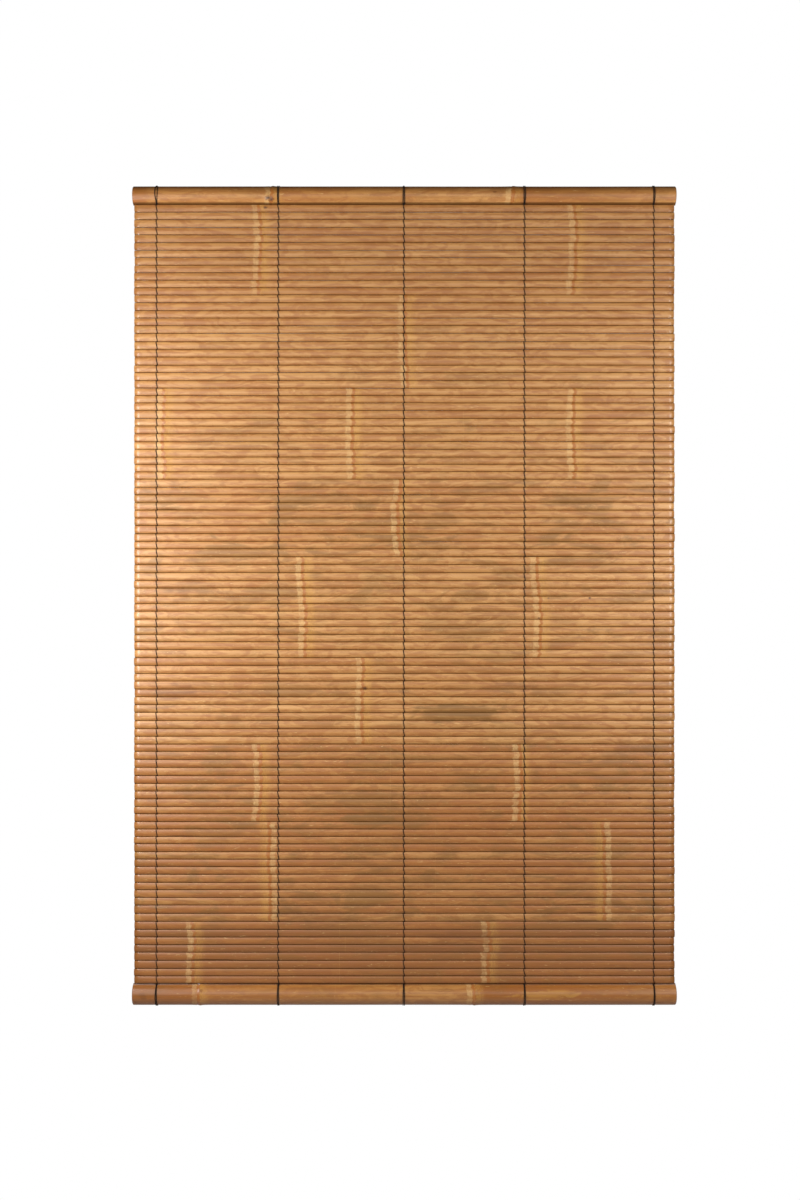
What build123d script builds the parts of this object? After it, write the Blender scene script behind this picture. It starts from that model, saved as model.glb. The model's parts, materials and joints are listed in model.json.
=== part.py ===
from build123d import *
import math
import os
import random

# Bamboo roll-up blind: flat bamboo slats held one above the other by five pairs of twined cord,
# between two half-culm rails. Millimetres; +X along the slats, +Z up, -Y towards the room.
# The origin is midway between the two hanger holes, on the plane of the hangers' backs.

# ---- slats ----
SLAT_COUNT = 101
SLATS_PER_GROUP = 2  # slats from one hinge to the next
CORE_SLATS = 9  # slats at the bottom with a hinge each, for the tight turns round the bottom rail
SLAT_LENGTH = 994.0
SLAT_LENGTH_SPREAD = 1.6  # slats are sawn to length this unevenly
SLAT_SHIFT = 0.4  # a slat stands at most this far to one side
SLAT_WIDTH = 13.3  # average
SLAT_WIDTH_SPREAD = 1.7  # from the narrowest slat to the widest
SLAT_GAP = 0.9
SLAT_THICKNESS = 2.6  # at the crown of the skin
SLAT_SKIN_RADIUS = 33.0  # outer radius of the culms that the slats are split from
SLAT_SEED = 7

# ---- rails: culms split lengthways, skin to the front, hollow to the back ----
RAIL_LENGTH = 1000.0
RAIL_END_ROUND = 1.2
HEAD_HEIGHT = 35.0  # diameter of the head rail's culm
HEAD_WALL = 5.0
FOOT_HEIGHT = 40.0  # diameter of the bottom rail's culm
FOOT_WALL = 5.5
WEB_THICKNESS = 3.0  # the woody disc that closes a culm at each node
HEAD_NODES = (-242.0, 201.0)  # X of each node
FOOT_NODES = (-376.0, 129.0)

# ---- warp cords ----
CORD_RADIUS = 0.8  # of one strand
CORD_PLACES = (-456.0, -232.0, -1.0, 221.0, 459.0)
STRAND_SPACING = 2.3  # of a pair's two strands, side by side round a rail
CORD_CLEARANCE = 0.4  # between a strand and the bamboo
KNOT_BEND = 2.2  # radius of a strand's middle line where it turns into the knot

# ---- hangers ----
HANGER_SPACING = 700.0
PLATE_WIDTH = 14.0
PLATE_THICKNESS = 2.0
PLATE_CORNER = 3.0
PLATE_MARGIN = 1.0  # from each end of a plate to the rail's edge
HOOK_HOLE_RADIUS = 3.5
SCREW_RADIUS = 1.1
SCREW_HEAD_RADIUS = 2.2
SCREW_HEAD_DEPTH = 1.1
SCREW_LENGTH = 8.0
SCREW_POINT = 2.0
SCREW_RIM_SHARE = 0.32  # how far across the rim's wall a screw stands, from the hollow side
SCREW_CLEARANCE = 0.05

# ---- places that follow from these sizes ----
RIM_Y = -PLATE_THICKNESS  # the plane of both rails' sawn edges
HEAD_RADIUS = HEAD_HEIGHT / 2
FOOT_RADIUS = FOOT_HEIGHT / 2
PLATE_HEIGHT = HEAD_HEIGHT - 2 * PLATE_MARGIN
SCREW_Z = HEAD_RADIUS - HEAD_WALL * (1 - SCREW_RIM_SHARE)
SLAT_BACK_Y = RIM_Y - HEAD_RADIUS / 2 + SLAT_THICKNESS / 2  # slats hang below the rail's balance


def skin_crown(width):
    """How far the skin of a slat of this width stands out over its own edges."""
    return SLAT_SKIN_RADIUS - math.sqrt(SLAT_SKIN_RADIUS**2 - (width / 2) ** 2)


def slat_sizes():
    """Width, length and X of the middle of each slat, from the top down."""
    uneven = random.Random(SLAT_SEED)
    shares = [uneven.uniform(-0.5, 0.5) for _ in range(SLAT_COUNT)]
    middle = sum(shares) / SLAT_COUNT
    sizes = []
    for share in shares:
        width = SLAT_WIDTH + (share - middle) * SLAT_WIDTH_SPREAD
        length = SLAT_LENGTH + uneven.uniform(-0.5, 0.5) * SLAT_LENGTH_SPREAD
        sizes.append((width, length, uneven.uniform(-SLAT_SHIFT, SLAT_SHIFT)))
    return sizes


def slat_tops(sizes):
    """Z of the top edge of each slat, and of the top of the bottom rail after the last of them."""
    tops = [-HEAD_RADIUS - SLAT_GAP]
    for width, _, _ in sizes:
        tops.append(tops[-1] - width - SLAT_GAP)
    return tops


SIZES = slat_sizes()
TOPS = slat_tops(SIZES)
FOOT_Z = TOPS[-1] - FOOT_RADIUS  # middle of the bottom rail


def slat_groups():
    """Runs of slats that turn together: (first, last) numbers, counted from 1."""
    paired = SLAT_COUNT - CORE_SLATS
    runs = [(start, min(start + SLATS_PER_GROUP - 1, paired)) for start in range(1, paired + 1, SLATS_PER_GROUP)]
    return runs + [(number, number) for number in range(paired + 1, SLAT_COUNT + 1)]


def group_name(first, last):
    return f"slat_{first:03d}" if first == last else f"slats_{first:03d}_{last:03d}"


def hinges():
    """Each hinge line, from the top down: (name, Y, Z). A gap opens about the edge that its slats fold on:
    the one under the head rail about the slats' front edges, because the finished roll tucks forward under
    the rail, and all the others about their back edges."""
    width = SIZES[0][0]
    front_edge = SLAT_BACK_Y - SLAT_THICKNESS + skin_crown(width)
    lines = [("fold_001_head_rail", front_edge, TOPS[0] + SLAT_GAP / 2)]
    for first, _ in slat_groups()[1:]:
        lines.append((f"fold_{first:03d}", SLAT_BACK_Y, TOPS[first - 1] + SLAT_GAP / 2))
    lines.append(("fold_bottom_rail", SLAT_BACK_Y, TOPS[-1] + SLAT_GAP / 2))
    return lines


def slat(number):
    """A strip split from a culm: flat inner side to the back, round skin to the front, edges eased."""
    width, length, shift = SIZES[number - 1]
    top = TOPS[number - 1]
    edge_y = SLAT_BACK_Y - SLAT_THICKNESS + skin_crown(width)
    with BuildSketch(Plane.YZ.offset(shift - length / 2)) as section:
        with BuildLine():
            Polyline((edge_y, top), (SLAT_BACK_Y, top), (SLAT_BACK_Y, top - width), (edge_y, top - width))
            ThreePointArc(
                (edge_y, top - width), (SLAT_BACK_Y - SLAT_THICKNESS, top - width / 2), (edge_y, top)
            )
        make_face()
    return extrude(section.sketch, length)


def half_ring(radius, wall, z):
    """The section of a split culm in the YZ plane: a half ring, open to the back."""
    inner = radius - wall
    with BuildSketch(Plane.YZ) as section:
        with BuildLine():
            Line((RIM_Y, z - inner), (RIM_Y, z - radius))
            ThreePointArc((RIM_Y, z - radius), (RIM_Y - radius, z), (RIM_Y, z + radius))
            Line((RIM_Y, z + radius), (RIM_Y, z + inner))
            ThreePointArc((RIM_Y, z + inner), (RIM_Y - inner, z), (RIM_Y, z - inner))
        make_face()
    return section.sketch


def half_disc(radius, z):
    """The section of the woody disc inside a split culm."""
    with BuildSketch(Plane.YZ) as section:
        with BuildLine():
            Line((RIM_Y, z + radius), (RIM_Y, z - radius))
            ThreePointArc((RIM_Y, z - radius), (RIM_Y - radius, z), (RIM_Y, z + radius))
        make_face()
    return section.sketch


def rail(radius, wall, z, nodes):
    """A split culm along X, with its ends eased and a web across the hollow at each node."""
    tube = extrude(half_ring(radius, wall, z), RAIL_LENGTH / 2, both=True)
    ends = [edge for edge in tube.edges().filter_by(GeomType.CIRCLE) if edge.radius > radius - wall / 2]
    tube = chamfer(ends, RAIL_END_ROUND)
    for x in nodes:
        web = extrude(half_disc(radius - wall / 2, z), WEB_THICKNESS / 2, both=True)
        tube += web.translate((x, 0, 0))
    return tube


def screw_spots():
    """(X, Z) of each screw: one above and one below each hook hole."""
    return [(x, z) for x in (-HANGER_SPACING / 2, HANGER_SPACING / 2) for z in (-SCREW_Z, SCREW_Z)]


def head_rail():
    """The top half culm, with a pilot hole for each hanger screw."""
    body = rail(HEAD_RADIUS, HEAD_WALL, 0, HEAD_NODES)
    for x, z in screw_spots():
        depth = SCREW_LENGTH - PLATE_THICKNESS + SCREW_CLEARANCE
        hole = Cylinder(SCREW_RADIUS + SCREW_CLEARANCE, depth, align=(Align.CENTER, Align.CENTER, Align.MIN))
        body -= Pos(x, RIM_Y, z) * Rot(90, 0, 0) * hole
    return body


def hanger_plates():
    """Two flat steel plates across the head rail's hollow: a hook hole and two countersunk screw holes."""
    plates = []
    for x in (-HANGER_SPACING / 2, HANGER_SPACING / 2):
        with BuildSketch(Plane.XZ) as outline:
            with Locations((x, 0)):
                RectangleRounded(PLATE_WIDTH, PLATE_HEIGHT, PLATE_CORNER)
                Circle(HOOK_HOLE_RADIUS, mode=Mode.SUBTRACT)
        plate = extrude(outline.sketch, PLATE_THICKNESS)
        for z in (-SCREW_Z, SCREW_Z):
            plate -= Pos(x, 0, z) * Rot(90, 0, 0) * screw_solid(SCREW_CLEARANCE)
        plates.append(plate)
    return Compound(children=plates)


def screw_solid(allowance):
    """A countersunk wood screw along +Z from its flat head at the origin, or its hole with an allowance."""
    shank = SCREW_RADIUS + allowance
    head = SCREW_HEAD_RADIUS + allowance
    with BuildSketch(Plane.XZ) as profile:
        with BuildLine():
            Polyline(
                (0, 0),
                (head, 0),
                (shank, SCREW_HEAD_DEPTH),
                (shank, SCREW_LENGTH - SCREW_POINT),
                (0, SCREW_LENGTH),
                close=True,
            )
        make_face()
    return revolve(profile.sketch, Axis.Z)


def hanger_screws():
    return Compound(children=[Pos(x, 0, z) * Rot(90, 0, 0) * screw_solid(0) for x, z in screw_spots()])


def wrap_line(radius, z, side):
    """A strand's middle line round a rail, from over the slats' middle, round the rail's front and far edge
    and up its hollow back to the knot behind the slats. side is 1 on the head rail, -1 on the bottom rail."""
    bend = CORD_CLEARANCE + CORD_RADIUS  # about the rail's sawn edges
    ring = radius + bend
    start_y = SLAT_BACK_Y - SLAT_THICKNESS / 2
    start_z = z - side * math.sqrt(ring**2 - (start_y - RIM_Y) ** 2)
    far, near = z + side * radius, z - side * radius
    corner = bend * math.sqrt(0.5)
    return [
        ThreePointArc((start_y, start_z), (RIM_Y - ring, z), (RIM_Y, far + side * bend)),
        ThreePointArc(
            (RIM_Y, far + side * bend), (RIM_Y + corner, far + side * corner), (RIM_Y + bend, far)
        ),
        Line((RIM_Y + bend, far), (RIM_Y + bend, near)),
        ThreePointArc(
            (RIM_Y + bend, near), (RIM_Y + corner, near - side * corner), (RIM_Y, near - side * bend)
        ),
    ]


def front_strand():
    """The strand in front of the slats. It leaves each rail's front face and runs straight between them."""
    bend = CORD_CLEARANCE + CORD_RADIUS
    run_y = SLAT_BACK_Y - SLAT_THICKNESS - bend
    behind_y = SLAT_BACK_Y + bend
    edges, ends = [], []
    for radius, z, side in ((HEAD_RADIUS, 0, 1), (FOOT_RADIUS, FOOT_Z, -1)):
        ring = radius + bend
        _, far_corner, back, near_corner = wrap_line(radius, z, side)
        turn_y = run_y - KNOT_BEND  # middle of the bend from the rail's face to the straight run
        turn_z = z - side * math.sqrt((ring + KNOT_BEND) ** 2 - (turn_y - RIM_Y) ** 2)
        share = ring / (ring + KNOT_BEND)
        leave = (RIM_Y + (turn_y - RIM_Y) * share, z + (turn_z - z) * share)
        half = math.atan2(abs(turn_z - leave[1]), leave[0] - turn_y) / 2
        on_bend = (turn_y + KNOT_BEND * math.cos(half), turn_z + side * KNOT_BEND * math.sin(half))
        edges += [
            near_corner,
            Line((RIM_Y, z - side * ring), (behind_y, z - side * ring)),
            back,
            far_corner,
            ThreePointArc((RIM_Y, z + side * ring), (RIM_Y - ring, z), leave),
            ThreePointArc(leave, on_bend, (run_y, turn_z)),
        ]
        ends.append((run_y, turn_z))
    return Wire([*edges, Line(*ends)])


def back_strand():
    """The strand behind the slats. It comes from each rail's hollow back, under the rail's near edge."""
    bend = CORD_CLEARANCE + CORD_RADIUS
    run_y = SLAT_BACK_Y + bend
    edges, ends = [], []
    for radius, z, side in ((HEAD_RADIUS, 0, 1), (FOOT_RADIUS, FOOT_Z, -1)):
        level = z - side * (radius + bend)
        quarter = KNOT_BEND * (1 - math.sqrt(0.5))
        end = (run_y, level - side * KNOT_BEND)
        edges += [
            *wrap_line(radius, z, side),
            Line((RIM_Y, level), (run_y + KNOT_BEND, level)),
            ThreePointArc((run_y + KNOT_BEND, level), (run_y + quarter, level - side * quarter), end),
        ]
        ends.append(end)
    return Wire([*edges, Line(*ends)])


def strand(line, x):
    """A round strand along a middle line drawn in the YZ plane, at this X."""
    path = Plane.YZ.offset(x).from_local_coords(line)
    section = Plane(origin=path @ 0, z_dir=path % 0) * Circle(CORD_RADIUS)
    return sweep(section, path=path)


def warp_cords():
    """Five pairs of strands. They stand plainly, one before the slats and one behind."""
    half = STRAND_SPACING / 2
    front = [strand(front_strand(), x - half) for x in CORD_PLACES]
    back = [strand(back_strand(), x + half) for x in CORD_PLACES]
    return Compound(children=front + back)


def build():
    nodes = {"head_rail": head_rail(), "bottom_rail": rail(FOOT_RADIUS, FOOT_WALL, FOOT_Z, FOOT_NODES)}
    nodes["hanger_plates"] = hanger_plates()
    nodes["hanger_screws"] = hanger_screws()
    nodes["warp_cords"] = warp_cords()
    for first, last in slat_groups():
        solids = [slat(number) for number in range(first, last + 1)]
        nodes[group_name(first, last)] = solids[0] if len(solids) == 1 else Compound(children=solids)
    return nodes


if __name__ == "__main__":
    os.makedirs("parts", exist_ok=True)
    for name, shape in build().items():
        export_step(shape, f"parts/{name}.step")
    for name, y, z in hinges():
        print(f"{name}: along X at Y {y:.4f}, Z {z:.4f}")
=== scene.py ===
import json
import math
import random

import bmesh
import bpy
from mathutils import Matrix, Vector, noise

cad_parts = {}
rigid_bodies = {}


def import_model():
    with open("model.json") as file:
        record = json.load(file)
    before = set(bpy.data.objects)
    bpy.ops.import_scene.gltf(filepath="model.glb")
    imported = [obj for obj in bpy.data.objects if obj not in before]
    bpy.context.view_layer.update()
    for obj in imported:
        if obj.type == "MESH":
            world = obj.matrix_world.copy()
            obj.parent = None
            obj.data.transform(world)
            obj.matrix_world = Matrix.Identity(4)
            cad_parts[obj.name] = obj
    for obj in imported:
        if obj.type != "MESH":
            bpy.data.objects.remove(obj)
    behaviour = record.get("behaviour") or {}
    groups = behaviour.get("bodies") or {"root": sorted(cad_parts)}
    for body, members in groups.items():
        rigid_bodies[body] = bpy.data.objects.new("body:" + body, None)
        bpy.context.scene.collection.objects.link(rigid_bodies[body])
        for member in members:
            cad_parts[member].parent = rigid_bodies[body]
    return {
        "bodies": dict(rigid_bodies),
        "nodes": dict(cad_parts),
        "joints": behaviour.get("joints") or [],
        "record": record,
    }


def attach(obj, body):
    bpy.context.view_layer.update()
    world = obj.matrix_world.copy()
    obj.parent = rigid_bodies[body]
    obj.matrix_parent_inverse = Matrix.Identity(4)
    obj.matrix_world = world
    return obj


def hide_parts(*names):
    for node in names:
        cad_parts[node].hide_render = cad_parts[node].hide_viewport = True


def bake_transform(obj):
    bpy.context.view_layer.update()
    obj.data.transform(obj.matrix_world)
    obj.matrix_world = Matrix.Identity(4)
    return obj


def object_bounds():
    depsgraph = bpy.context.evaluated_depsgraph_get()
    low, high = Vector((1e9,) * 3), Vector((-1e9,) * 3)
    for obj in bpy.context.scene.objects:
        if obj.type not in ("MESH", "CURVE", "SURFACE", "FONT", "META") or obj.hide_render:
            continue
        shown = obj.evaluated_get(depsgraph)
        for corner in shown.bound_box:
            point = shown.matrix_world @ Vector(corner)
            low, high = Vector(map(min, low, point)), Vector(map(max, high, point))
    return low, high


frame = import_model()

# A bamboo roll-up blind: split bamboo slats, skin to the front, twined together by five pairs of cord
# between two half-culm rails. Metres, in the frame of the CAD part.

CAD_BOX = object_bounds()
random.seed(11)

SKIN, INNER = 0, 1  # material numbers of a bamboo piece: its outer skin, and its sawn and split faces

# ---- slats ----
SLAT_STATIONS = 96  # rings along a slat
NODE_STATIONS = 9  # more rings over each node's ridge
NODE_REACH = 0.012
EDGE_ROUND = 0.0005
EDGE_WANDER = 0.00030  # how far the split between two slats strays from straight
SKIN_OVERHANG = 0.00012  # how far the skin's edges reach into the gaps
SKIN_OPENING = 0.00010  # how much more a gap opens at its widest
SPLIT_SLANT = 0.0010  # a split runs this far down from the skin to the back
SLANT_GROWTH = 0.0007  # and this much more at the lowest slat
SKIN_CROWN = 0.0010  # how far the skin falls away at a slat's edges
SKIN_POINTS = (-1.0, -0.965, -0.87, -0.66, -0.35, 0.0, 0.35, 0.66, 0.87, 0.965, 1.0)  # across a slat's skin
BOW = 0.0001  # how far a slat bows out and in
END_SAG = 0.0005  # how much shorter a slat's end is at its edges
NODE_DRIFT = 0.0042  # how far a culm's nodes wander along X from slat to slat
NODE_STRAY = 0.0015  # and how far each slat's nodes stand off that at random
TONE_SPREAD = 0.26  # how far a slat's tone may lie from its culm's
TONE_DRIFT = 0.12  # how much it changes along the slat
GREEN_SPREAD = 0.2
RIDGE_HEIGHT = 0.00038
RIDGE_WIDTH = 0.0028

# Each culm was split into slats that were laid in order: how many, where its nodes stand along X,
# how brown it is from 0 to 1.6, how grey-green, and 1 or -1 for which way up it grew.
CULMS = (
    (12, (-0.266, 0.314), 0.50, 0.15, 1),
    (12, (0.005,), 0.32, 0.10, 1),
    (12, (-0.441, -0.092, 0.314), 0.28, 0.25, 1),
    (10, (-0.008,), 0.36, 0.55, 1),
    (13, (-0.183, 0.249), 0.30, 0.45, 1),
    (11, (-0.073,), 0.46, 0.35, 1),
    (10, (-0.266, 0.213), 0.80, 0.50, 1),
    (13, (-0.251, 0.365), 0.78, 0.50, -1),
    (8, (-0.386, 0.157), 1.25, 0.25, 1),
)
SLAT_TOTAL = sum(culm[0] for culm in CULMS)

# Where a slat's lower edge was split short: slat number, X of the middle, length and depth.
SPLIT_EDGES = (
    (46, 0.250, 0.200, 0.0011),
    (46, 0.150, 0.060, 0.0008),
    (98, -0.355, 0.110, 0.0012),
    (40, -0.436, 0.050, 0.0010),
    (82, -0.415, 0.070, 0.0008),
    (31, 0.100, 0.120, 0.0006),
    (62, -0.030, 0.150, 0.0006),
    (70, 0.330, 0.130, 0.0006),
    (91, 0.322, 0.060, 0.0008),
    (92, 0.335, 0.045, 0.0008),
    (93, 0.336, 0.060, 0.0008),
    (94, 0.368, 0.030, 0.0009),
    (99, 0.390, 0.060, 0.0005),
)

# ---- rails: culms split lengthways ----
RAIL_STATIONS = 130
RAIL_ARC = 20  # faces round the half circle
RAIL_RIDGE = 0.0007
RAIL_NODE_STATIONS = 14
RAIL_NODE_REACH = 0.014
RAIL_WASTE = 0.00015  # a rail's skin lies about this far inside the CAD culm
FAR_EDGE = 0.82  # where a rail's far edge lies on the scale from a slat's middle (0) to its edge (1)
HEAD_SHADE_STRETCH = 1.17  # stretches that scale below the head rail's middle, so that the painted shade along its edge beside the slats reaches farther
HEAD_NODES = (-0.242, 0.201)
FOOT_NODES = (-0.376, 0.129)
HEAD_WALL = 0.005
FOOT_WALL = 0.0055
WEB_THICKNESS = 0.003
WEB_INSET = 0.0002  # how far a web lies inside the rim of the hollow
END_ROUND = 0.0012

# ---- cords ----
CORD_PLACES = (-0.456, -0.232, -0.001, 0.221, 0.459)
STRAND_RADIUS = 0.00078
STRAND_PRESS = 0.0006  # from a face to the middle of a strand pulled tight over it
TWIST_REACH = 0.00105  # how far a strand stands beside the pair's middle where it passes a gap
RAIL_SPREAD = 0.0012  # how far it stands beside the middle on a rail
# A strand over a slat: how far above the slat's middle, in half slats, and its share of STRAND_PRESS there.
STRAND_PRESSES = (
    (1.04, 0.35), (0.95, 0.85), (0.6, 1.0), (0.0, 1.0), (-0.6, 1.0), (-0.95, 0.85), (-1.04, 0.35),
)
OVER_MIDDLE = 4  # the point of a strand's line over a slat that lies at the slat's middle
STRAND_STRAY = 0.0003  # how far a crossing strays sideways
WRAP_START, WRAP_END, WRAP_STEP = -62, 90, 8  # degrees round a rail's section, from the knot to the far edge
KNOT_RADIUS = 0.0011
KNOT_TURNS = 3
KNOT_STEPS = 9  # points in each turn
KNOT_HEIGHT = 0.0019
KNOT_HALF = 0.0006  # how far from the knot's middle the strands enter and leave it
KNOT_DEPTH = 0.0006  # how far behind the front of the slats the knot's middle lies
KNOT_OVERLAP = 0.0004  # and how far over the rail's edge
# How far each pair spreads on a rail, as shares of RAIL_SPREAD: at the knot, in the middle, at the far edge.
HEAD_SPREADS = ((0.5, 1.9, 0.5), (0.6, 0.9, 1.0), (1.3, 1.0, 0.5), (0.8, 1.1, 1.0), (0.7, 1.0, 0.9))
FOOT_SPREADS = ((0.5, 1.0, 0.9), (0.6, 1.0, 0.8), (0.6, 1.1, 1.0), (0.5, 0.9, 1.0), (0.4, 0.75, 0.9))

# ---- colours and marks of the bamboo ----
PALE_TAN = (0.630, 0.310, 0.088, 1)
GOLD = (0.500, 0.215, 0.045, 1)
ORANGE = (0.370, 0.120, 0.014, 1)
DEEP = (0.150, 0.048, 0.008, 1)
OLIVE = (0.220, 0.098, 0.017, 1)
RUDDY = (0.350, 0.125, 0.032, 1)
BLOND = (0.650, 0.370, 0.145, 1)
CREAM = (0.700, 0.440, 0.170, 1)
HONEY = (0.620, 0.320, 0.060, 1)
STRAW = (0.560, 0.370, 0.170, 1)
# Painted shade for the dark gaps between pieces.
GAP_SHADE = (0.085, 0.038, 0.016, 1)
SCAR_EYE = (0.06, 0.025, 0.012, 1)
COAT_ROUGHNESS = 0.32
# The layers that colour a skin, from the lowest up: the mask, how much of a colour mixes in, and the colour.
# The blond layers show where their masks are low. The streaks are DEEP and the green is OLIVE.
LOWER_LAYERS = (("Band", 0.45, ORANGE), ("Cloud", 0.6, RUDDY))
BLOND_LAYERS = (("Cloud", 0.32), ("Streak", 0.3))
STREAK_SHARE = 0.32
GREEN_SHARE = 0.95
UPPER_LAYERS = (("Scratch", 0.5, CREAM), ("Speck", 0.7, DEEP))
NODE_LAYERS = (("Faint", 0.7, HONEY), ("Pale", 0.55, CREAM), ("Line", 0.8, ORANGE))
SCAR_SHARE, EYE_SHARE = 0.75, 0.8
EDGE_SHADE_SHARE = 0.75  # how much painted shade darkens a piece's edges, for the shaded gaps between pieces

# Marks on the slats: bud scars (middle, radius), and stains (middle, half size, colour, strength).
SLAT_BUDS = (((-0.2555, 0, -0.0234), 0.005), ((-0.073, 0, -0.908), 0.006), ((0.415, 0, -1.110), 0.004),
             ((0.341, 0, -0.742), 0.0035), ((0.265, 0, -0.742), 0.0022), ((0.034, 0, -0.909), 0.0022),
             ((0.248, 0, -0.779), 0.0030))
SLAT_STAINS = (
    ((0.111, 0, -0.953), (0.100, 1, 0.020), OLIVE, 0.95),
    ((-0.417, 0, -0.913), (0.045, 1, 0.018), DEEP, 0.55),
    ((-0.073, 0, -1.148), (0.070, 1, 0.016), OLIVE, 0.85),
    ((0.200, 0, -0.905), (0.060, 1, 0.010), DEEP, 0.45),
    ((-0.150, 0, -0.560), (0.120, 1, 0.012), OLIVE, 0.6),
    ((0.060, 0, -0.600), (0.070, 1, 0.014), OLIVE, 0.6),
    ((0.330, 0, -0.560), (0.080, 1, 0.012), OLIVE, 0.6),
    ((-0.390, 0, -0.720), (0.060, 1, 0.014), DEEP, 0.3),
    ((0.110, 0, -1.365), (0.080, 1, 0.016), DEEP, 0.4),
    ((-0.170, 0, -1.330), (0.090, 1, 0.018), DEEP, 0.35),
    ((0.430, 0, -1.020), (0.050, 1, 0.018), DEEP, 0.35),
)

# Bud lumps on the head rail: X, Z, radius, height. Stains as above, and each rail's tones: where along X, and
# the tone at the left and right of that stretch.
RAIL_BUDS = ((-0.2500, -0.0075, 0.0045, 0.0018), (-0.2440, -0.0100, 0.0035, 0.0012))
RAIL_STAINS = (
    ((0.166, 0, 0.004), (0.004, 1, 0.0015), DEEP, 0.7),
    ((-0.480, 0, -1.474), (0.010, 1, 0.008), DEEP, 0.5),
    ((0.060, 0, -1.462), (0.045, 1, 0.003), DEEP, 0.5),
    ((0.260, 0, -1.470), (0.060, 1, 0.010), HONEY, 0.5),
    ((-0.373, 0, -1.462), (0.005, 1, 0.004), DEEP, 0.7),
)
HEAD_TONES = (((-0.5, -0.47), 1.05, 0.8), ((-0.47, -0.242), 0.5, 0.3), ((-0.242, 0.201), 0.7, 0.05),
              ((0.201, 0.5), 0.95, 0.3))
FOOT_TONES = (((-0.5, -0.376), 1.3, 1.0), ((-0.376, 0.129), 0.8, 0.35), ((0.129, 0.5), 1.2, 0.7))

# ---- twine and steel ----
TWINE_DARK = (0.006, 0.004, 0.003, 1)
TWINE_LIGHT = (0.034, 0.019, 0.011, 1)
TWINE_FUZZ = (0.07, 0.042, 0.026, 1)
ZINC = (0.52, 0.53, 0.55, 1)
ZINC_DULL = (0.38, 0.38, 0.38, 1)

# ---- camera, light and floor ----
PICTURE_WIDTH = 1.472  # metres across the picture at the slats
CAMERA_DISTANCE = 3.0
SENSOR_WIDTH = 24.0
AIM_LEFT, AIM_DOWN = 0.008, 0.008  # the camera looks this far beside and below the blind's middle
FLOOR_HALF = 1.6
FLOOR_FORWARD, FLOOR_DROP = 0.7, 0.8  # the floor's middle, towards the camera and below the blind
FLOOR_PALE = (0.86, 0.86, 0.86, 1)
WORLD_DIM = 0.12  # the light from all round
LIGHT_RAISE = 0.15  # from the blind's middle up to the lights' level
# Each soft box: its name; its X, Y and height over the lights' level; the X and height that it faces; its
# width and height; and its watts.
LIGHTS = (
    ("soft_left", (-1.12, -0.8, 0.0), (0.05, 0.0), (0.45, 0.6), 13.8),
    ("soft_right", (1.17, -0.8, 0.0), (-0.05, 0.0), (0.45, 0.6), 9.2),
    ("strip_left", (-0.74, -0.62, -0.05), (-0.4, -0.05), (0.14, 0.7), 2.4),
    ("strip_right", (0.76, -0.62, 0.0), (0.4, 0.0), (0.14, 0.7), 1.1),
    ("sheen_left", (-1.05, -2.5, -0.05), (0.0, 0.0), (0.6, 1.1), 9),
    ("sheen_right", (1.2, -2.5, 0.0), (0.0, 0.0), (0.6, 1.1), 7),
    ("soft_front", (0.0, -3.4, 0.6), (0.0, 0.0), (2.4, 1.2), 15),
    ("soft_back_left", (-1.3, 2.2, 0.5), (0.0, 0.0), (0.9, 0.9), 40),
    ("soft_back_right", (1.3, 2.2, 0.5), (0.0, 0.0), (0.9, 0.9), 26),
)


# ---------------------------------------------------------------- small helpers

def new_object(name, mesh_or_bmesh, materials):
    """An object at the origin with these materials."""
    if isinstance(mesh_or_bmesh, bmesh.types.BMesh):
        mesh = bpy.data.meshes.new(name)
        mesh_or_bmesh.to_mesh(mesh)
        mesh_or_bmesh.free()
    else:
        mesh = mesh_or_bmesh
        mesh.name = name
    obj = bpy.data.objects.new(name, mesh)
    bpy.context.scene.collection.objects.link(obj)
    mesh.materials.clear()
    for material in materials:
        mesh.materials.append(material)
    return obj


def smooth(value):
    value = min(max(value, 0.0), 1.0)
    return value * value * (3 - 2 * value)


def bump_at(distance, width):
    """A round bump: 1 in the middle, 0 a few widths away."""
    return math.exp(-((distance / width) ** 2))


def wander(seed, x, scale):
    """A smooth random curve along X, from about -1 to 1."""
    return 1.6 * noise.noise(Vector((x / scale, seed * 7.31, seed * 1.7)))


def solids_of(node):
    """The box (lowest, highest corner) of each separate solid of a CAD node, from the top down."""
    shape = bmesh.new()
    shape.from_mesh(frame["nodes"][node].data)
    bmesh.ops.remove_doubles(shape, verts=shape.verts, dist=1e-6)
    left = set(shape.verts)
    boxes = []
    while left:
        stack = [left.pop()]
        found = list(stack)
        while stack:
            for edge in stack.pop().link_edges:
                for vert in edge.verts:
                    if vert in left:
                        left.remove(vert)
                        stack.append(vert)
                        found.append(vert)
        low = Vector([min(v.co[k] for v in found) for k in range(3)])
        high = Vector([max(v.co[k] for v in found) for k in range(3)])
        boxes.append((low, high))
    shape.free()
    return sorted(boxes, key=lambda box: -box[1].z)


# ---------------------------------------------------------------- shader groups and materials

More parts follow.
